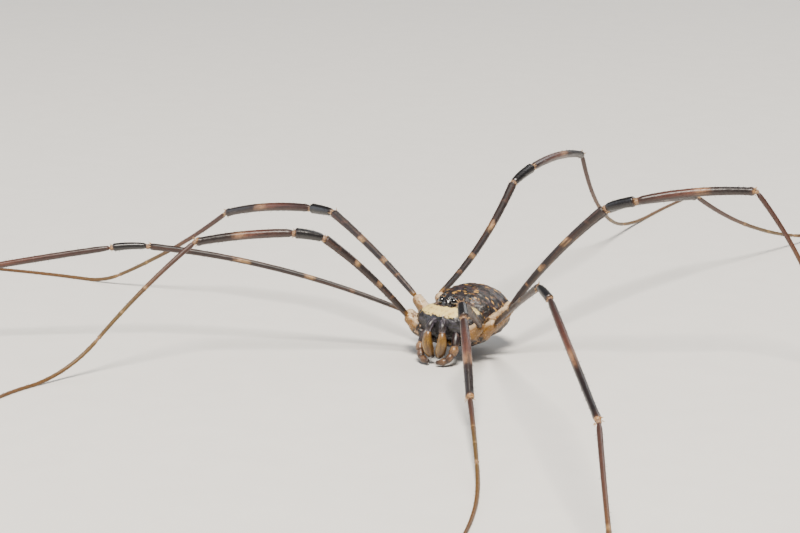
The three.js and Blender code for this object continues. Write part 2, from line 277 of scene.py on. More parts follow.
# %% [markdown]
# Paths
#
# The middle line of every limb is a path, a list of points. Blender's curves could carry the tubes, but a
# path worked out here also tells where a hair or a tooth stands and which way it points. The way outwards
# from a path is measured from the top of the limb. On a limb that stands almost upright the top means
# nothing, so there it is measured from the front, or the tube would twist.

# %% Directions, and places along and round a path
STEEP = 0.8
UP, FRONT = Vector((0, 0, 1)), Vector((0, -1, 0))


def direction(heading, pitch):
    h, p = math.radians(heading), math.radians(pitch)
    return Vector((math.sin(h) * math.cos(p), -math.cos(h) * math.cos(p), math.sin(p)))


def between(first, last, share):
    return first + (last - first) * share


def walk(start, length, direction_at, steps=48):
    """The points of a path of a given length, whose direction is given at each share of it."""
    points = [start.copy()]
    for i in range(steps):
        points.append(points[-1] + direction_at((i + 0.5) / steps) * (length / steps))
    return points


def along_path(path, share):
    """A place on a path and the path's direction there."""
    at = min(max(share, 0.0), 1.0) * (len(path) - 1)
    i = min(int(at), len(path) - 2)
    before, after = path[max(i - 1, 0)], path[min(i + 2, len(path) - 1)]
    here = path[i].lerp(path[i + 1], at - i)
    tangent = (path[i + 1] - path[i]).normalized() * 2 + (after - before).normalized()
    return here, tangent.normalized()


def cross_frame(path, share):
    """A place on a path, the path's direction there, and the two directions across it."""
    here, tangent = along_path(path, share)
    steep = abs((path[-1] - path[0]).normalized().z) > STEEP
    side = tangent.cross(FRONT if steep else UP).normalized()
    return here, tangent, side, side.cross(tangent)


print("a heading of 90 and a pitch of 0 point to", [round(v) for v in direction(90, 0)])

# %% [markdown]
# Outlines
#
# An outline says how thick a limb is: each of its points is a share of the limb's length and a radius
# there. A straight line from point to point would leave edges on the limb. A curve through the points
# whose slope is none at a peak or a waist swells and narrows softly and never overshoots them.


# %% The radius at a share of a limb
def slope_at(values, i):
    """The slope of an outline at one of its points."""
    before, after = [(q - p) / (b - a) for (a, p), (b, q) in zip(values[i - 1 : i + 1], values[i : i + 2])]
    return 2 * before * after / (before + after) if before * after > 0 else 0.0


def blend(values, share):
    """The radius at a share of a limb. Its two ends close like a ball's, and the rest is one curve."""
    share = min(max(share, 0.0), 1.0)
    i = max(k for k in range(len(values) - 1) if values[k][0] <= share)
    (a, p), (b, q) = values[i : i + 2]
    t = (share - a) / (b - a)
    if i == 0:
        return q * math.sin(t * math.pi / 2)
    if i == len(values) - 2:
        return p * math.cos(t * math.pi / 2)
    m, n = [slope_at(values, k) if 1 < k < len(values) - 2 else 0.0 for k in (i, i + 1)]
    bend = m * t * (1 - t) ** 2 - n * t * t * (1 - t)
    return p + (q - p) * t * t * (3 - 2 * t) + (b - a) * bend


print("half way along, a ball of radius 1 has", blend([(0, 0.0), (0.5, 1.0), (1, 0.0)], 0.5))

# %% [markdown]
# A limb
#
# A limb is a tube with its own outline. It starts as a flat grid: the grid's width is wrapped round a path
# and its length is laid along it, so the grid's own coordinates become the UV map. A cylinder could be
# bent instead, but its map would have to be unwrapped. The outline comes down to nothing at both ends, so
# the tube is closed there, and merging doubled vertices closes the long seam.

# %% Make a limb
DOUBLED = 1e-5


def limb(bm, path, outline, scale=1.0, around=16, along=60, material=0, relief=None):
    """A closed tube. The relief gives how much its radius grows at a share of its length and an angle."""
    uv = bm.loops.layers.uv.verify()
    grid = bmesh.ops.create_grid(bm, x_segments=around, y_segments=along, size=0.5)["verts"]
    for face in {face for vert in grid for face in vert.link_faces}:
        face.material_index = material
        face.smooth = True
        for loop in face.loops:
            loop[uv].uv = (loop.vert.co.x + 0.5, loop.vert.co.y + 0.5)
    rows = {}
    for vert in grid:
        angle, share = (vert.co.x + 0.5) * 2 * math.pi, vert.co.y + 0.5
        if share not in rows:
            rows[share] = blend(outline, share) * scale, *cross_frame(path, share)
        radius, here, _, side, top = rows[share]
        if relief:
            radius *= relief(share, angle)
        vert.co = here + (side * math.sin(angle) + top * math.cos(angle)) * radius
    bmesh.ops.remove_doubles(bm, verts=grid, dist=DOUBLED)


print("points closer than", DOUBLED, "mm become one")

# %% [markdown]
# Hairs and thorns
#
# Fine hairs stand on every limb, and blunt thorns on the head. A particle system would grow hairs, but
# they are no mesh, so each one here is a slim three-sided cone that leans towards the tip of its segment.
# Its place is drawn at random from a fixed seed, so that every run grows the same hairs.

# %% Spikes, and a scatter of them on a limb
ROOT_DEPTH = 0.015
CLEAR_OF_GROUND = 0.03


def spike(bm, middle, way, length, thickness, material, sides, point, smooth=False):
    """A cone. The point is the radius at its tip as a share of the one at its root."""
    made = bmesh.ops.create_cone(
        bm, segments=sides, radius1=thickness, radius2=thickness * point, depth=length, cap_ends=True,
        matrix=Matrix.Translation(middle) @ way.to_track_quat("Z", "Y").to_matrix().to_4x4(),
    )["verts"]
    for face in {face for vert in made for face in vert.link_faces}:
        face.material_index = material
        face.smooth = smooth


def grow(
    bm, path, outline, scale, seed, material, count, length, thickness, span=(0.05, 0.95), lean=0.8, sides=3
):
    """Scatter hairs, warts or teeth over a span of a limb. A higher lean lays them flatter."""
    dice = random.Random(seed)
    for _ in range(count):
        share = dice.uniform(*span)
        angle = dice.uniform(-math.pi, math.pi)
        here, tangent, side, top = cross_frame(path, share)
        out = side * math.sin(angle) + top * math.cos(angle)
        way = (out + tangent * dice.uniform(0.3, 1.0) * lean).normalized()
        size = length * dice.uniform(0.6, 1.2)
        middle = here + out * (blend(outline, share) * scale - ROOT_DEPTH) + way * size / 2
        if middle.z + way.z * size / 2 > CLEAR_OF_GROUND:
            spike(bm, middle, way, size, thickness, material, sides, point=0.15)


print("roots are sunk", ROOT_DEPTH, "mm into the skin")

# %% [markdown]
# Making a piece
#
# Every piece is drawn in millimetres in one bmesh. At the end its faces are turned outwards, it is moved
# into the model's frame in metres, and it takes the place of the plain solids that it covers.


# %% Finish a piece
def place_mesh(name, bm, materials):
    mesh = bpy.data.meshes.new(name)
    bm.to_mesh(mesh)
    bm.free()
    for material in materials:
        mesh.materials.append(material)
    placed = bpy.data.objects.new(name, mesh)
    bpy.context.collection.objects.link(placed)
    return placed


def make_piece(name, bm, materials, nodes):
    bmesh.ops.recalc_face_normals(bm, faces=bm.faces)
    bmesh.ops.transform(bm, matrix=TO_METRES, verts=bm.verts)
    piece = place_mesh(name, bm, materials)
    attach(piece, "root")
    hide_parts(*nodes)
    print(name, "has", sum(len(p.vertices) - 2 for p in piece.data.polygons), "triangles")


# %% [markdown]
# The pose of the legs
#
# A leg hangs from its hip as a chain of five segments. Each one leaves the one before it with a heading
# and a pitch in degrees. A heading of 0 points to the front, 90 to the animal's left and -90 to its right.
# The table gives the heading at a segment's two ends and then the pitch at both, so it can bow. The foot
# has no pitch: it bends down from the last one until it lies flat, and then runs along the ground. Points
# in space would do too, but with angles every segment keeps its own length.

# %% Lengths and pose, in millimetres and degrees
HIPS = {1: (2.6, -2.3, 2.6), 2: (3.15, -1.4, 2.6), 3: (3.35, 0.1, 3.25), 4: (2.65, 1.9, 3.1)}
SEGMENTS = ["femur", "patella", "tibia", "metatarsus", "tarsus"]
LENGTHS = {
    1: (7.6, 1.9, 6.2, 8.5, 14),
    2: (17.2, 2.3, 16.5, 17, 22),
    3: (9.1, 2.1, 7.4, 11, 14),
    4: (12.5, 2.4, 10, 15, 18),
}
POSE = {
    ("right", 1): (
        (-45.7, -42.4, 51.4, 38), (-53.5, -53.2, 17.9, 4.3), (-60, -60.9, 0.3, -11.3),
        (-34.6, -33.4, -35.3, -45), (-36, 34),
    ),
    ("right", 2): (
        (-68.8, -66.8, 21.1, 4.2), (-56.6, -56, 4.9, -7.8), (-57.8, -58, -7.6, -12.1),
        (-58.4, -57.6, -8.4, -8.4), (-57.6, -40),
    ),
    ("right", 3): (
        (-107.7, -107.1, 32.9, 22.9), (-105.9, -105.9, 1.6, -3.4), (-90.4, -99.4, -0.9, -17.8),
        (-93.1, -92.8, -36.5, -23.3), (-93, -76),
    ),
    ("right", 4): (
        (180.9, 184.8, 14.6, 36.3), (174.1, 172, 23.2, 12.2), (183.6, 188.3, 4.5, -13.9),
        (192.8, 189.5, -51.9, -10.1), (189, 178),
    ),
    ("left", 1): (
        (18.9, 19.3, 26.5, 21.5), (32.2, 32.3, -10.7, -16.7), (33.2, 32.1, -28.1, -39.1),
        (31, 31, -3.3, -11.3), (31, 14),
    ),
    ("left", 2): (
        (36.5, 36.5, 22.1, 20.1), (42.4, 42.4, -1.3, -7.3), (34.2, 36.2, -5.4, -9.8),
        (28.8, 30.6, -20.2, -17.9), (31, 48),
    ),
    ("left", 3): (
        (104.5, 103.5, 56.5, 40.7), (93.3, 93.2, 22.1, 11.9), (121.5, 120.5, 12.3, -3.4),
        (106.6, 105.2, -50.9, -74.6), (105, 88),
    ),
    ("left", 4): (
        (176.3, 175.3, 25.5, 12.2), (178.9, 179.3, 2.8, -1.2), (172.9, 173.6, -3.9, -8.7),
        (172, 172, -29.3, -11.2), (172, 160),
    ),
}
print("the eight legs together are", 2 * sum(sum(lengths) for lengths in LENGTHS.values()), "mm long")

# %% The paths of a leg
FOOT_HEIGHT = 0.2
FOOT_STEPS = 96


def bowed_path(start, length, turn):
    """A segment's path, whose heading and pitch change evenly from its root to its tip."""

    def direction_at(share):
        return direction(between(*turn[:2], share), between(*turn[2:], share))

    return walk(start, length, direction_at)


def foot_path(start, length, turn, pitch):
    """The foot's path: it levels out evenly as it comes down, and then lies on the ground."""
    dive = math.radians(-pitch)
    bend = (start.z - FOOT_HEIGHT) * dive / (1 - math.cos(dive)) / length

    def direction_at(share):
        return direction(between(*turn, share), pitch * (1 - share / bend) if share < bend else 0)

    return walk(start, length, direction_at, FOOT_STEPS)


def leg_paths(side, number):
    """The paths of a leg's five segments, from its hip to its toe."""
    start = Vector(HIPS[number])
    start.x *= 1 if side == "left" else -1
    *upper, (foot_length, foot_turn) = zip(LENGTHS[number], POSE[side, number])
    paths = []
    for length, turn in upper:
        paths.append(bowed_path(start, length, turn))
        start = paths[-1][-1]
    return paths + [foot_path(start, foot_length, foot_turn, upper[-1][1][-1])]


print("the first left toe is at", [round(v, 1) for v in leg_paths("left", 1)[-1][-1]])

# %% [markdown]
# Eight legs
#
# The outlines below give each segment's radius from its root to its tip. A femur is thin at its root and
# flares at the knee, the patella is short and swollen, and the tibia ends in a collar. The last two
# segments are thin, and the foot is divided into dozens of tiny rings that let it curl. The upper segments
# also have seven faint ribs and low warts. A bump would draw them too, but real relief also shows on the
# outline, where a leg is seen against the light floor.

# %% Outlines and relief of the leg segments
OUTLINES = {
    "femur": [
        (0, 0.0), (0.004, 0.15), (0.03, 0.185), (0.3, 0.215), (0.75, 0.245), (0.95, 0.275), (0.985, 0.285),
        (0.996, 0.24), (1, 0.0),
    ],
    "patella": [
        (0, 0.0), (0.02, 0.2), (0.1, 0.26), (0.45, 0.305), (0.82, 0.325), (0.94, 0.335), (0.985, 0.27),
        (1, 0.0),
    ],
    "tibia": [
        (0, 0.0), (0.005, 0.19), (0.05, 0.255), (0.3, 0.275), (0.65, 0.27), (0.93, 0.25), (0.97, 0.275),
        (0.992, 0.23), (1, 0.0),
    ],
    "metatarsus": [
        (0, 0.0), (0.005, 0.12), (0.03, 0.165), (0.3, 0.15), (0.49, 0.142), (0.5, 0.158), (0.52, 0.14),
        (0.74, 0.13), (0.75, 0.146), (0.77, 0.128), (0.97, 0.12), (0.99, 0.14), (1, 0.0),
    ],
    "tarsus": [(0, 0.0), (0.004, 0.1), (0.03, 0.118), (0.6, 0.1), (0.92, 0.075), (0.97, 0.05), (1, 0.0)],
}
JOINT_OUTLINE = [(0, 0.0), (0.08, 0.7), (0.5, 0.84), (0.92, 0.7), (1, 0.0)]
CLAW_OUTLINE = [(0, 0.0), (0.1, 0.04), (0.6, 0.028), (1, 0.0)]
FOOT_RINGS, RING_DEPTH = 26, 0.1
RIBS, RIB_DEPTH = 7, 0.022
WARTS_ALONG, WART_DEPTH = 36, 0.05


def leg_relief(segment, seed):
    """How the skin rises and falls: rings on the foot, and ribs with warts nearer the body."""

    def relief(share, angle):
        if segment == "tarsus":
            return 1 + RING_DEPTH * abs(math.sin(share * math.pi * FOOT_RINGS))
        if segment == "metatarsus":
            return 1.0
        spot = Vector((share * WARTS_ALONG, math.cos(angle) * 3, math.sin(angle) * 3 + seed))
        return 1 + RIB_DEPTH * math.cos(angle * RIBS) + WART_DEPTH * noise.noise(spot)

    return relief


print("a knee is", 2 * max(radius for _, radius in OUTLINES["patella"]), "mm thick")

# %% [markdown]
# The parts of a leg
#
# The solids of the feet are stouter than real ones, so the thin feet drawn here are lowered onto the
# ground. Short tubes of soft skin bridge the gaps that the solids leave at the joints, and pale teeth
# stand round the end of each segment above a joint. One tube for a whole leg would be simpler, but then
# nothing would mark its joints. The second legs are slimmer and more hairy than the others.

# %% Feet, joints and claws
FOOT_DROP, DROP_FROM = 0.095, 2.0
SEGMENT_GAP = 0.05
CUT_STEPS = 60
JOINT_REACH = [0, 0.16, 0.16, 0.16, 0.1]
JOINT_RADIUS = [0, 0.27, 0.27, 0.19, 0.125]
JOINT_SAG = [0, 0.03, 0.03, 0, 0]
CLAW = [(0, 0.09), (0.12, 0.08), (0.22, 0.17)]
JOINT, HAIR, TOOTH = 5, 6, 7


def settle(points):
    """Lower the points near the ground, because the real foot is thinner than its solid."""
    heights = [min(max((point.z - FOOT_HEIGHT) / DROP_FROM, 0), 1) for point in points]
    return [point - Vector((0, 0, FOOT_DROP * (1 - share))) for point, share in zip(points, heights)]


def cut(path, gap):
    """A path without a short length at each of its ends."""
    length = sum((b - a).length for a, b in zip(path, path[1:]))
    shares = [gap / length + (1 - 2 * gap / length) * i / CUT_STEPS for i in range(CUT_STEPS + 1)]
    return [along_path(path, share)[0] for share in shares]


def joint_path(paths, number, i):
    """A short path from the end of one segment, through the joint, to the start of the next."""
    start = along_path(paths[i - 1], 1 - JOINT_REACH[i] / LENGTHS[number][i - 1])[0]
    middle = paths[i - 1][-1] - Vector((0, 0, JOINT_SAG[i]))
    end = along_path(paths[i], JOINT_REACH[i] / LENGTHS[number][i])[0]
    path = [start, start.lerp(middle, 0.5), middle, middle.lerp(end, 0.5), end]
    return settle(path) if i >= 3 else path


def add_claw(bm, foot):
    """A claw that hooks down from the end of a foot. Its points lie ahead of the foot and below it."""
    tip, way = along_path(foot, 1.0)
    path = [tip + way * ahead - Vector((0, 0, below)) for ahead, below in CLAW]
    limb(bm, path, CLAW_OUTLINE, around=8, along=8, material=HAIR)


print("a foot is", 2 * OUTLINES["tarsus"][2][1], "mm thick at its root")

# %% Build the legs
SECOND_LEG_SLIMNESS, SECOND_LEG_HAIRINESS = 0.76, 1.7
THIN_SEGMENTS_SHARE = 0.3
HAIRS = {
    "femur": (90, 0.16),
    "patella": (24, 0.14),
    "tibia": (90, 0.17),
    "metatarsus": (90, 0.14),
    "tarsus": (130, 0.12),
}
FEMUR_WARTS = {"count": 60, "length": 0.07, "thickness": 0.022, "span": (0.1, 0.93), "lean": 0.4, "sides": 5}
TEETH = {"count": 9, "length": 0.2, "thickness": 0.035, "span": (0.985, 0.995), "lean": 1.6, "sides": 5}
LEG_MATERIALS = [
    femur_cuticle, patella_cuticle, tibia_cuticle, metatarsus_cuticle, tarsus_cuticle,
    joint_skin, hair_chitin, tooth_chitin,
]


def build_leg(side, number):
    bm = bmesh.new()
    slim = SECOND_LEG_SLIMNESS if number == 2 else 1.0
    hairiness = SECOND_LEG_HAIRINESS if number == 2 else 1.0
    paths = leg_paths(side, number)
    for i, (segment, path) in enumerate(zip(SEGMENTS, paths)):
        outline = OUTLINES[segment]
        seed = number * 100 + i * 10 + (side == "left")
        points = settle(path) if i >= 3 else path
        if segment != "tarsus":
            points = cut(points, SEGMENT_GAP)
        # The two thin segments of a slim leg are only a little thinner than those of the others.
        size = slim if i < 3 else 1.0 - THIN_SEGMENTS_SHARE * (1 - slim)
        around, along = (28, 96) if i < 3 else (14, 150)
        limb(bm, points, outline, size, around, along, i, leg_relief(segment, seed))
        count, length = HAIRS[segment]
        grow(bm, points, outline, size, seed, HAIR, int(count * hairiness), length, 0.011)
        if segment == "femur":
            grow(bm, points, outline, size, seed + 5, HAIR, **FEMUR_WARTS)
            continue
        limb(bm, joint_path(paths, number, i), JOINT_OUTLINE, JOINT_RADIUS[i] * size, 14, 10, JOINT)
        if segment != "tarsus":
            grow(bm, paths[i - 1], OUTLINES[SEGMENTS[i - 1]], size, seed + 7, TOOTH, **TEETH)
    add_claw(bm, paths[-1])
    return bm


for side in ("left", "right"):
    for number in HIPS:
        name = f"leg_{side}_{number}"
        nodes = [f"{name}_{segment}" for segment in SEGMENTS]
        make_piece(name + "_shell", build_leg(side, number), LEG_MATERIALS, nodes)

# %% [markdown]
# Patterns of the body
#
# The body's plates are mottled rather than ringed. Their patterns read Object coordinates, which a Mapping
# node turns into millimetres from the middle of the body, so each pattern's scale is one over the size of
# its patches in millimetres. A pattern from a UV map would be squeezed at the ends of a sphere, and this
# one isn't. Warts are the cells of a Voronoi pattern, which are round and packed side by side as real
# warts are.


# %% Patches and warts
def body_millimetres(tree):
    place = add(tree, "TexCoord").outputs["Object"]
    inputs = {"Vector": place, "Location": -BODY_AT, "Scale": (1000, 1000, 1000)}
    return add(tree, "Mapping", inputs).outputs["Vector"]


def patchy(tree, where, ground, *layers):
    """A ground colour with layers of patches, each with a size in millimetres, a soft edge and a colour."""
    tint = ground
    for size, edges, code in layers:
        stretch = {"Vector": where, "Scale": [1 / width for width in size]}
        stretched = add(tree, "Mapping", stretch).outputs["Vector"]
        cloud = {"Vector": stretched, "Scale": 1.0, "Detail": 3.0}
        cloud = add(tree, "TexNoise", cloud).outputs["Fac"]
        tint = lay_over(tree, tint, cloud, edges, code)
    return tint


def warts(tree, where, size, strength, height):
    """Rounded warts, their size in millimetres, their height in metres: the normal, and where they rise."""
    cells = add(tree, "TexVoronoi", {"Vector": where, "Scale": 1 / size}).outputs["Distance"]
    edges = {"Value": cells, "From Min": 0.0, "From Max": 0.5, "To Min": 1.0, "To Max": 0.0}
    rise = add(tree, "MapRange", edges).outputs["Result"]
    bump = {"Height": rise, "Strength": strength, "Distance": height}
    return add(tree, "Bump", bump).outputs["Normal"], rise


def connect(tree, shader, tint, normal):
    tree.links.new(tint, shader.inputs["Base Color"])
    tree.links.new(normal, shader.inputs["Normal"])


print("patterns are measured from", [round(v, 2) for v in BODY_AT], "mm")

# %% [markdown]
# Cuticle of the abdomen
#
# The hind body is covered by hard plates in cross rows. Its ground colour is a dark brown, with broad
# purple-grey patches that are a painted sheen, and rows of tan flecks cross it, each about half a
# millimetre wide and a sixth long. Broad patches come first and small ones last, so that dark flecks
# also break up the tan ones. The tops of the warts are a little paler, a painted highlight.

# %% Flecked cuticle
abdomen_cuticle, tree, shader = new_material("abdomen chitin", 0.5, 0.12, 0.3)
where = body_millimetres(tree)
# The broad purple-grey patches are a painted sheen; the other layers are the cuticle's own flecks.
tint = patchy(
    tree, where, "#0d0708",
    ((0.909, 0.588, 0.909), (0.45, 0.62), "#2b2027"),
    ((0.526, 0.25, 0.526), (0.53, 0.62), "#4a2f20"),
    ((0.526, 0.1667, 0.3333), (0.585, 0.63), "#bd8f45"),
    ((0.294, 0.1176, 0.25), (0.55, 0.6), "#0d080a"),
)
normal, rise = warts(tree, where, 0.14, 0.6, 0.00005)
# Painted highlight: the tops of the warts are lightened a little.
connect(tree, shader, lay_over(tree, tint, rise, (0.6, 0.95), "#8d7068", strength=0.16), normal)
print("the abdomen's cuticle has", len(tree.nodes), "nodes")

# %% [markdown]
# Cuticle of the carapace
#
# A bright cream band runs round the front edge of the carapace like a crescent, with a black face under it
# and mottled brown behind it. It could be a strip of faces with their own material, but its edge would
# follow the faces. Here the distance from the middle, measured on an ellipse, decides the colour, and some
# noise scallops the lines between the bands.

# %% Banded cuticle
BAND_CENTRE_Y, BAND_REACH_X, BAND_REACH_Y = -1.15, 2.25, 1.75
BAND_EDGE, FACE_EDGE, BAND_ENDS = (0.66, 0.7), (3.3, 3.24), (-0.35, -0.8)
SCALLOP, SCALLOP_SIZE = 0.2, 0.294
FACE_SCALLOP = 0.5
carapace_cuticle, tree, shader = new_material("carapace chitin", 0.4, 0.2, 0.3)
where = body_millimetres(tree)
inputs = {
    "Vector": where,
    "Location": (0, -BAND_CENTRE_Y / BAND_REACH_Y, 0),
    "Scale": (1 / BAND_REACH_X, 1 / BAND_REACH_Y, 0),
}
ellipse = add(tree, "Mapping", inputs).outputs["Vector"]
reach = add(tree, "VectorMath", {0: ellipse}, operation="LENGTH").outputs["Value"]
inputs = {"Vector": where, "Scale": 1 / SCALLOP_SIZE, "Detail": 1.5}
scallop = add(tree, "TexNoise", inputs).outputs["Fac"]
inputs = {0: scallop, 1: SCALLOP, 2: reach}
reach = add(tree, "Math", inputs, operation="MULTIPLY_ADD").outputs[0]
edges = {"Value": reach, "From Min": BAND_EDGE[0], "From Max": BAND_EDGE[1]}
band = add(tree, "MapRange", edges).outputs["Result"]
parts = add(tree, "SeparateXYZ", {"Vector": where}).outputs
edges = {"Value": parts["Y"], "From Min": BAND_ENDS[0], "From Max": BAND_ENDS[1]}
ahead = add(tree, "MapRange", edges).outputs["Result"]
band = add(tree, "Math", {0: band, 1: ahead}, operation="MULTIPLY").outputs[0]
inputs = {0: scallop, 1: FACE_SCALLOP, 2: parts["Z"]}
height = add(tree, "Math", inputs, operation="MULTIPLY_ADD").outputs[0]
edges = {"Value": height, "From Min": FACE_EDGE[0], "From Max": FACE_EDGE[1]}
face = add(tree, "MapRange", edges).outputs["Result"]
face = add(tree, "Math", {0: face, 1: ahead}, operation="MULTIPLY").outputs[0]
print("the bands are set by", len(tree.nodes), "nodes")

# %% Colours of the bands
mottled = patchy(
    tree, where, "#1d1211",
    ((0.4545, 0.294, 0.4545), (0.47, 0.6), "#5c463e"),
    ((0.238, 0.1667, 0.238), (0.57, 0.63), "#b8977a"),
)
cream = patchy(tree, where, "#e9d084", ((0.3333, 0.3333, 0.3333), (0.5, 0.7), "#bd9a58"))
dark = patchy(tree, where, "#0a0708", ((0.3333, 0.3333, 0.1429), (0.5, 0.58), "#2a2730"))
tint = mottled
for mask, code in ((band, cream), (face, dark)):
    tint = lay_over(tree, tint, mask, (0, 1), code)
normal, rise = warts(tree, where, 0.12, 0.5, 0.00004)
connect(tree, shader, tint, normal)
print("the carapace's cuticle has", len(tree.nodes), "nodes")

# %% [markdown]
# The abdomen
#
# The hind body is a plump egg with low steps across its back, one for each plate, and a narrow plate under
# the front of its belly. It starts as a sphere with its poles in front and behind, so that its rings of
# faces run across the body as the plates do. Its points are then moved by a formula, and two noises
# roughen it, where sculpting would hide the sizes.


# %% Round shapes
def smooth(value, low_edge, high_edge):
    """From 0 at the low edge to 1 at the high edge, with no sudden change of slope."""
    t = min(max((value - low_edge) / (high_edge - low_edge), 0.0), 1.0)
    return t * t * (3 - 2 * t)


def round_shape(bm, centre, radii, around, rows):
    made = bmesh.ops.create_uvsphere(
        bm, u_segments=around, v_segments=rows, radius=1.0, matrix=Matrix.Rotation(math.pi / 2, 4, "X")
    )["verts"]
    for vert in made:
        vert.co = vert.co * radii + centre
    for face in {face for vert in made for face in vert.link_faces}:
        face.smooth = True
    return made


def roughen(verts, centre, depth, size, seed):
    """Move points in and out by a noise of a depth and a size in millimetres."""
    for vert in verts:
        out = (vert.co - centre).normalized()
        vert.co += out * depth * noise.fractal(vert.co / size + Vector((seed, 0, 0)), 0.6, 2.0, 3)


print("half way between its edges a smooth step is", smooth(0.5, 0, 1))

# %% Build the abdomen
ABDOMEN_AT, ABDOMEN_RADII = Vector((0, 1.45, 2.32)), Vector((2.45, 2.5, 1.78))
BELLY_PLATE_AT, BELLY_PLATE_RADII = Vector((0, -0.35, 1.05)), Vector((0.75, 1.75, 0.4))
BELLY_FLATNESS = 0.92
PLATES, PLATE_STEP = 7, 0.075
BACK_FROM, BACK_TO = -0.4, 0.6
bm = bmesh.new()
verts = round_shape(bm, ABDOMEN_AT, ABDOMEN_RADII, 120, 120)
for vert in verts:
    share = (vert.co.y - ABDOMEN_AT.y + ABDOMEN_RADII.y) / (2 * ABDOMEN_RADII.y)
    if vert.co.z < ABDOMEN_AT.z:
        vert.co.z = ABDOMEN_AT.z + (vert.co.z - ABDOMEN_AT.z) * BELLY_FLATNESS
    phase = share * PLATES % 1
    on_back = smooth(vert.co.z, ABDOMEN_AT.z + BACK_FROM, ABDOMEN_AT.z + BACK_TO)
    vert.co.z += PLATE_STEP * on_back * smooth(phase, 0, 0.35) * (1 - phase**8)
roughen(verts, ABDOMEN_AT, depth=0.05, size=0.35, seed=3)
roughen(verts, ABDOMEN_AT, depth=0.02, size=0.12, seed=8)
round_shape(bm, BELLY_PLATE_AT, BELLY_PLATE_RADII, 40, 30)
make_piece("abdomen_shell", bm, [abdomen_cuticle], ["abdomen"])

# %% [markdown]
# The carapace
#
# The head's shield is made in the same way from a lower ellipsoid that is squarer in front. A groove
# crosses it behind the eyes, its front edge is drawn out into a low lip, and tiny black thorns stand along
# that lip. Each thorn is set on the surface by the ellipsoid's own formula, which is surer than placing it
# by eye.

# %% Build the carapace
CARAPACE_AT, CARAPACE_RADII = Vector((0, CARAPACE_CENTRE_Y, 2.42)), Vector((2.15, 1.7, 1.2))
FRONT_SQUARENESS = 0.32
GROOVE_Y, GROOVE_WIDTH, GROOVE_ABOVE = -0.6, 0.14, 2.6
LIP_Z, LIP_WIDTH = 3.0, 0.12
FOLD = 0.07
bm = bmesh.new()
verts = round_shape(bm, CARAPACE_AT, CARAPACE_RADII, 110, 100)
for vert in verts:
    forward = max(0.0, -(vert.co.y - CARAPACE_AT.y) / CARAPACE_RADII.y)
    vert.co.x *= 1 + FRONT_SQUARENESS * forward * (1 - forward)
    if vert.co.z > GROOVE_ABOVE:
        vert.co.z -= FOLD * math.exp(-(((vert.co.y - GROOVE_Y) / GROOVE_WIDTH) ** 2))
    vert.co.z += FOLD * math.exp(-(((vert.co.z - LIP_Z) / LIP_WIDTH) ** 2)) * smooth(forward, 0.5, 0.9)
roughen(verts, CARAPACE_AT, depth=0.045, size=0.4, seed=21)
print("the carapace has", len(verts), "points")

# %% Set the thorns on its front edge
THORNS, THORN_SPREAD = 15, 62
THORN_REACH, THORN_WIDENING = 0.86, 1.05
THORN_LENGTHS, THORN_THICKNESS = (0.14, 0.22), 0.05
thorn_black = ringed_cuticle("thorn chitin", [(0.0, "#1a1212"), (1.0, "#241a18")], 0.3, coat=0.3, grain=0.2)


def on_carapace(x, y):
    """The height of the carapace's top at a place."""
    u, v = x / CARAPACE_RADII.x, (y - CARAPACE_AT.y) / CARAPACE_RADII.y
    return CARAPACE_AT.z + CARAPACE_RADII.z * math.sqrt(max(0.0, 1 - u * u - v * v))


def thorn(bm, root, way, length, thickness, material=0):
    """A stout spike, sunk a tenth of its length into what it stands on."""
    way = way.normalized()
    spike(bm, root + way * length * 0.4, way, length, thickness, material, sides=6, point=0.12, smooth=True)


dice = random.Random(7)
for i in range(THORNS):
    angle = math.radians(THORN_SPREAD * (2 * i / (THORNS - 1) - 1))
    reach = THORN_REACH + dice.uniform(-0.02, 0.03)
    x = CARAPACE_RADII.x * math.sin(angle) * reach
    y = CARAPACE_AT.y - CARAPACE_RADII.y * math.cos(angle) * reach
    root = Vector((x * THORN_WIDENING, y, on_carapace(x, y)))
    way = Vector((root.x * 0.3, -1.0, 0.35))
    thorn(bm, root, way, dice.uniform(*THORN_LENGTHS), THORN_THICKNESS, material=1)
make_piece("carapace_shell", bm, [carapace_cuticle, thorn_black], ["carapace"])

# %% [markdown]
# The eye mound
#
# Harvestmen carry their two eyes on a knob, which looks like a turret. This one is black and glossy, with
# a row of blunt thorns over each eye. Its small warts are bump only, because they are a tenth of a
# millimetre wide. An eye's lens is the same chitin, but clear and as smooth as glass, so it is nearly
# black with a sharp highlight.

# %% Black glossy cuticle, and the eye's lens
mound_cuticle, tree, shader = new_material("eye mound chitin", 0.22, 0.6, 0.1)
where = body_millimetres(tree)
tint = patchy(tree, where, "#0d0a0c", ((0.1667, 0.1667, 0.1667), (0.5, 0.7), "#2c2423"))
connect(tree, shader, tint, warts(tree, where, 0.1, 0.5, 0.00003)[0])
eye_lens, tree, shader = new_material("eye lens cuticle", 0.08, 1.0, 0.03)
where = body_millimetres(tree)
tint = patchy(tree, where, "#060506", ((0.125, 0.125, 0.125), (0.4, 0.7), "#15100f"))
tree.links.new(tint, shader.inputs["Base Color"])
print("made", mound_cuticle.name, "and", eye_lens.name)

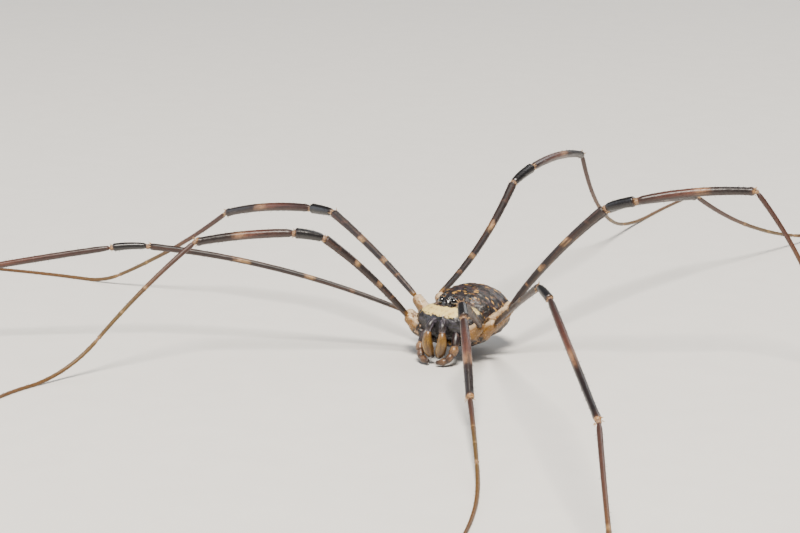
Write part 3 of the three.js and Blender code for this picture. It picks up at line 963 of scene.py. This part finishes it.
# %% Build the eye mound and the eyes
MOUND_AT, MOUND_RADII = Vector((0, -1.6, 3.52)), Vector((0.48, 0.54, 0.52))
EYE_AT, EYE_RADIUS = Vector((0.42, -1.74, 3.74)), 0.25
MOUND_THORNS, MOUND_THORN_SPREAD = 6, 55
bm = bmesh.new()
verts = round_shape(bm, MOUND_AT, MOUND_RADII, 48, 36)
roughen(verts, MOUND_AT, depth=0.04, size=0.16, seed=5)
dice = random.Random(12)
for side in (-1, 1):
    for i in range(MOUND_THORNS):
        angle = math.radians(MOUND_THORN_SPREAD * (2 * i / (MOUND_THORNS - 1) - 1))
        out = Vector((side * 0.34, math.sin(angle) * 0.52, math.cos(angle) * 0.55))
        way = Vector((side * 0.3, out.y, out.z + 0.2))
        thorn(bm, MOUND_AT + out, way, dice.uniform(*THORN_LENGTHS), 0.055)
make_piece("eye_mound_shell", bm, [mound_cuticle], ["eye_mound"])
SIDES = {"left": 1, "right": -1}
for name, side in SIDES.items():
    bm = bmesh.new()
    round_shape(bm, Vector((EYE_AT.x * side, EYE_AT.y, EYE_AT.z)), Vector([EYE_RADIUS] * 3), 36, 28)
    make_piece(f"eye_{name}_lens", bm, [eye_lens], [f"eye_{name}"])

# %% [markdown]
# Cuticle of the hips
#
# A harvestman's first leg segment, the coxa, is a stout cone that is joined to the underside. It ends in a
# ball, the trochanter, which carries the leg. The outer third is ochre, and pale cream on top, which is
# partly its own colour and partly a painted highlight; the rest is dark brown with pale streaks. The UV
# map says how far out and how far up a point is, which no flat projection could, as every hip points
# another way.

# %% Cream and ochre over dark brown
PALE_EDGE = (0.66, 0.73)
hip_cuticle, tree, shader = new_material("coxa chitin", 0.42, 0.2, 0.3)
where = body_millimetres(tree)
uv = add(tree, "TexCoord").outputs["UV"]
uv = add(tree, "SeparateXYZ", {"Vector": uv}).outputs
# Painted highlight: the side of the ball that faces up is paler, cream over ochre.
ball = lay_over(tree, "#75500f", upwards(tree, uv["X"]), (0.05, 0.9), "#ceb490")
ball = patchy(tree, where, ball, ((0.294, 0.294, 0.2), (0.52, 0.6), "#7a5426"))
cone = patchy(tree, where, "#150b09", ((0.1429, 0.1429, 0.4), (0.55, 0.62), "#8a6a48"))
wander = add(tree, "TexNoise", {"Vector": where, "Scale": 1 / 0.4, "Detail": 2.0}).outputs["Fac"]
along = add(tree, "Math", {0: wander, 1: 0.2, 2: uv["Y"]}, operation="MULTIPLY_ADD").outputs[0]
tint = lay_over(tree, cone, along, PALE_EDGE, ball)
connect(tree, shader, tint, warts(tree, where, 0.11, 0.35, 0.00003)[0])
print("the hips' cuticle has", len(tree.nodes), "nodes")

# %% [markdown]
# The hips
#
# Each hip is a limb on a gently sagging path from under the body to the leg's root. Its inner end is sunk
# into the body, as the real one is fused to it. Soft lumps and lengthwise ridges are real relief, because
# a hip is large enough for them to show, and small pale warts and hairs stand on it.

# %% Smooth paths
PATH_STEPS = 8


def smooth_path(points, side):
    """A curve through a few points, on one side of the body."""
    points = [Vector((x * side, y, z)) for x, y, z in points]
    curve = []
    for i in range(len(points) - 1):
        a, b = points[max(i - 1, 0)], points[i]
        c, d = points[i + 1], points[min(i + 2, len(points) - 1)]
        for t in [k / PATH_STEPS for k in range(PATH_STEPS)]:
            bend = (2 * a - 5 * b + 4 * c - d) * t * t + (3 * b - a - 3 * c + d) * t * t * t
            curve.append(0.5 * ((2 * b) + (c - a) * t + bend))
    return curve + [points[-1]]


print("each stretch between two points has", PATH_STEPS, "steps")

# %% Build the hips
HIP_ROOTS = {1: (0.75, -2.0, 1.25), 2: (0.7, -1.25, 1.0), 3: (0.7, -0.4, 0.95), 4: (0.7, 0.5, 0.95)}
HIP_OUTLINE = [
    (0, 0.0), (0.02, 0.3), (0.3, 0.46), (0.56, 0.52), (0.68, 0.47), (0.74, 0.4), (0.79, 0.39), (0.88, 0.37),
    (0.95, 0.29), (0.985, 0.19), (1, 0.0),
]
HIP_OVERLAP, HIP_SAG, HIP_INNER_SAG, HIP_MIDDLE = 0.08, 0.12, 0.03, 0.55
HIP_LUMPS, HIP_RIDGES, HIP_RIDGE_DEPTH, RIDGES_UP_TO = 0.09, 9, 0.035, 0.7
HIP_HAIRS = {"count": 26, "length": 0.12, "thickness": 0.012, "span": (0.1, 0.92), "lean": 0.6}
HIP_WARTS = {"count": 90, "length": 0.06, "thickness": 0.03, "span": (0.3, 0.94), "lean": 0.2, "sides": 6}


def hip_relief(number):
    """Uneven skin: soft lumps everywhere, and lengthwise ridges on the coxa."""

    def relief(share, angle):
        lumps = noise.noise(Vector((share * 7, math.cos(angle) * 3, math.sin(angle) * 3 + number * 9)))
        ridges = math.sin(angle * HIP_RIDGES + share * 6) * (share < RIDGES_UP_TO)
        return 1 + HIP_LUMPS * lumps + HIP_RIDGE_DEPTH * ridges

    return relief


def hip_path(number, side):
    root, end = Vector(HIP_ROOTS[number]), Vector(HIPS[number])
    end += (end - root).normalized() * HIP_OVERLAP
    middle = root.lerp(end, HIP_MIDDLE) - Vector((0, 0, HIP_SAG))
    inner = root.lerp(middle, 0.5) - Vector((0, 0, HIP_INNER_SAG))
    return smooth_path([root, inner, middle, middle.lerp(end, 0.5), end], side)


for name, side in SIDES.items():
    for number in HIPS:
        path = hip_path(number, side)
        bm = bmesh.new()
        limb(bm, path, HIP_OUTLINE, 1.0, 48, 80, 0, hip_relief(number))
        grow(bm, path, HIP_OUTLINE, 1.0, number * 31 + side, 1, **HIP_HAIRS)
        grow(bm, path, HIP_OUTLINE, 1.0, number * 37 + side, 2, **HIP_WARTS)
        materials = [hip_cuticle, hair_chitin, tooth_chitin]
        make_piece(f"hip_{name}_{number}", bm, materials, [f"leg_{name}_{number}_coxa"])

# %% [markdown]
# Cuticle of the jaws and palps
#
# The jaws' arms are dark, with a painted grey sheen in their middle and in grey-lilac streaks, and their
# swollen hands are ochre and streaked along their length. The palps are short feelers beside the jaws,
# brown with a tan knee. The ringed cuticle of the legs serves for all of them, with other stops, as it is
# the same chitin and also follows a limb.

# %% Materials of the jaws and palps
# The arms' grey middle and grey-lilac streaks are a painted sheen.
jaw_arm_cuticle = ringed_cuticle(
    "jaw arm chitin",
    [(0.0, "#120c0e"), (0.4, "#26222a"), (0.7, "#170f10"), (0.88, "#2a1b18"), (0.97, "#8a6f5c")],
    roughness=0.45, coat=0.1, fray=0.2, streaks_and_sheen=("#6a6470", 0.8, 7),
)
# The darker colour on the back of each hand is painted shade.
jaw_hand_cuticle = ringed_cuticle(
    "jaw hand chitin",
    [
        (0.0, "#a98a70"), (0.05, "#6e4d2c"), (0.3, "#6f5220"), (0.55, "#7f6029"), (0.78, "#5f431b"),
        (0.9, "#2c1a0f"), (0.97, "#0d0706"),
    ],
    roughness=0.36, coat=0.25, fray=0.2, grain=0.3, shaded_underside="#6b4a22", streaks_and_sheen=("#3a2210", 0.75, 11),
)
palp_arm_cuticle = ringed_cuticle(
    "palp arm chitin",
    [(0.0, "#2c262c"), (0.4, "#1e161d"), (0.75, "#1b0f0e"), (1.0, "#3d2519")],
    roughness=0.4, coat=0.1, fray=0.2, streaks_and_sheen=("#5a463c", 0.6, 8),
)
palp_knee_cuticle = ringed_cuticle(
    "palp knee chitin",
    [(0.0, "#8f6d4c"), (0.5, "#80603e"), (1.0, "#3a2016")],
    roughness=0.4, coat=0.15, fray=0.25, streaks_and_sheen=("#4c2e1c", 0.7, 8),
)
palp_foot_cuticle = ringed_cuticle(
    "palp foot chitin",
    [
        (0.0, "#5f4330"), (0.3, "#63452e"), (0.45, "#26160f"), (0.6, "#66492f"), (0.85, "#3f2819"),
        (1.0, "#180e0b"),
    ],
    roughness=0.42, coat=0.1, fray=0.2, streaks_and_sheen=("#2c1a12", 0.7, 8),
)
MOUTH_MATERIALS = [
    jaw_arm_cuticle, jaw_hand_cuticle, palp_arm_cuticle, palp_knee_cuticle, palp_foot_cuticle, hair_chitin,
]
print("the mouthparts have", len(MOUTH_MATERIALS), "materials")

# %% [markdown]
# The jaws and the palps
#
# Under the front edge hang two jaws. Each has a short arm that arches forward, and a hand that hangs from
# it like a drop and ends in a dark tip. The palps come down outside them to a knee and curl in below. They
# are limbs on paths of three to five points, which are given for the left side and are mirrored for the
# right one.

# %% Build the jaws and the palps
JAW_ARM = [(0.24, -2.5, 2.6), (0.34, -2.95, 2.68), (0.45, -3.25, 2.46), (0.48, -3.34, 2.08)]
JAW_ARM_OUTLINE = [(0, 0), (0.06, 0.2), (0.4, 0.22), (0.75, 0.25), (0.93, 0.2), (1, 0)]
JAW_HAND = [
    (0.48, -3.32, 2.12), (0.52, -3.42, 1.75), (0.5, -3.46, 1.3), (0.36, -3.4, 0.8), (0.13, -3.3, 0.45),
]
JAW_HAND_OUTLINE = [
    (0, 0), (0.03, 0.18), (0.14, 0.24), (0.4, 0.32), (0.65, 0.34), (0.82, 0.27), (0.94, 0.14), (1, 0),
]
PALP_ARM = [(1.0, -2.45, 2.05), (1.14, -2.8, 1.62), (1.2, -3.03, 1.19)]
PALP_ARM_OUTLINE = [(0, 0), (0.04, 0.22), (0.4, 0.25), (0.85, 0.24), (0.97, 0.19), (1, 0)]
PALP_KNEE = [(1.2, -2.98, 1.25), (1.2, -3.15, 1.0), (1.1, -3.31, 0.76)]
PALP_KNEE_OUTLINE = [(0, 0), (0.06, 0.21), (0.4, 0.28), (0.8, 0.26), (0.96, 0.19), (1, 0)]
PALP_FOOT = [(1.12, -3.23, 0.84), (0.98, -3.42, 0.5), (0.66, -3.62, 0.33), (0.24, -3.76, 0.27)]
PALP_FOOT_OUTLINE = [(0, 0), (0.05, 0.19), (0.25, 0.24), (0.5, 0.2), (0.6, 0.22), (0.9, 0.14), (1, 0)]
# Each limb of a piece is a path, an outline and the number of its material.
MOUTH_PIECES = {
    "jaw_{}": [(JAW_ARM, JAW_ARM_OUTLINE, 0), (JAW_HAND, JAW_HAND_OUTLINE, 1)],
    "palp_{}_upper": [(PALP_ARM, PALP_ARM_OUTLINE, 2)],
    "palp_{}_lower": [(PALP_KNEE, PALP_KNEE_OUTLINE, 3), (PALP_FOOT, PALP_FOOT_OUTLINE, 4)],
}
JAW_SEED, PALP_SEED = 50, 60
MOUTH_HAIRS = {"count": 34, "length": 0.13, "thickness": 0.01, "span": (0.1, 0.95)}
for name, side in SIDES.items():
    for pattern, limbs in MOUTH_PIECES.items():
        node = pattern.format(name)
        seed = side + (JAW_SEED if "jaw" in node else PALP_SEED)
        bm = bmesh.new()
        for i, (points, outline, material) in enumerate(limbs):
            path = smooth_path(points, side)
            limb(bm, path, outline, 1.0, 24, 40, material)
            grow(bm, path, outline, 1.0, seed + i, 5, **MOUTH_HAIRS)
        make_piece(node + "_shell", bm, MOUTH_MATERIALS, [node])

# %% [markdown]
# Floor and light
#
# The animal stands on a plain pale floor of matt paint, with a faint speckle 2.5 mm wide so that it isn't
# quite even. One large soft lamp hangs above and in front, a second fills in the shadows from the other
# side, and a third gives the back edges some light. Hard lamps would be simpler, but the sharp shadows of
# such thin legs look like more legs.

# %% The floor
FLOOR_SIZE, SPECKLE = 4.0, 0.0025
paint, tree, shader = new_material("matt floor paint", 0.7)
place = add(tree, "TexCoord").outputs["Object"]
speck = add(tree, "TexNoise", {"Vector": place, "Scale": 1 / SPECKLE, "Detail": 3.0}).outputs["Fac"]
tree.links.new(lay_over(tree, "#e6e4df", speck, (0, 1), "#edebe6"), shader.inputs["Base Color"])
bm = bmesh.new()
bmesh.ops.create_grid(bm, x_segments=1, y_segments=1, size=FLOOR_SIZE)
floor = place_mesh("floor", bm, [paint])
print("the floor is", 2 * FLOOR_SIZE, "m wide")

# %% Lamps and the room's light
AIM_HEIGHT = 4


def lamp(name, spot, size, power, tone):
    """A round soft lamp that looks at the animal. Its place is in millimetres, its size in metres."""
    light = bpy.data.lights.new(name, "AREA")
    light.shape, light.size, light.energy = "DISK", size, power
    light.color = colour(tone)[:3]
    holder = bpy.data.objects.new(name, light)
    holder.location = TO_METRES @ Vector(spot)
    aim = holder.location - TO_METRES @ Vector((0, 0, AIM_HEIGHT))
    holder.rotation_euler = aim.to_track_quat("Z", "Y").to_euler()
    bpy.context.collection.objects.link(holder)


lamp("key lamp", (100, -190, 380), 0.14, 4.2, "#fff6ea")
lamp("fill lamp", (-360, -160, 160), 0.4, 0.8, "#eef4ff")
lamp("rim lamp", (60, 380, 300), 0.3, 0.9, "#ffffff")
world = bpy.data.worlds.new("studio")
world.use_nodes = True
world.node_tree.nodes["Background"].inputs["Color"].default_value = colour("#e8ecf0")
world.node_tree.nodes["Background"].inputs["Strength"].default_value = 0.22
bpy.context.scene.world = world
print("the scene has", len(bpy.data.lights), "lamps")
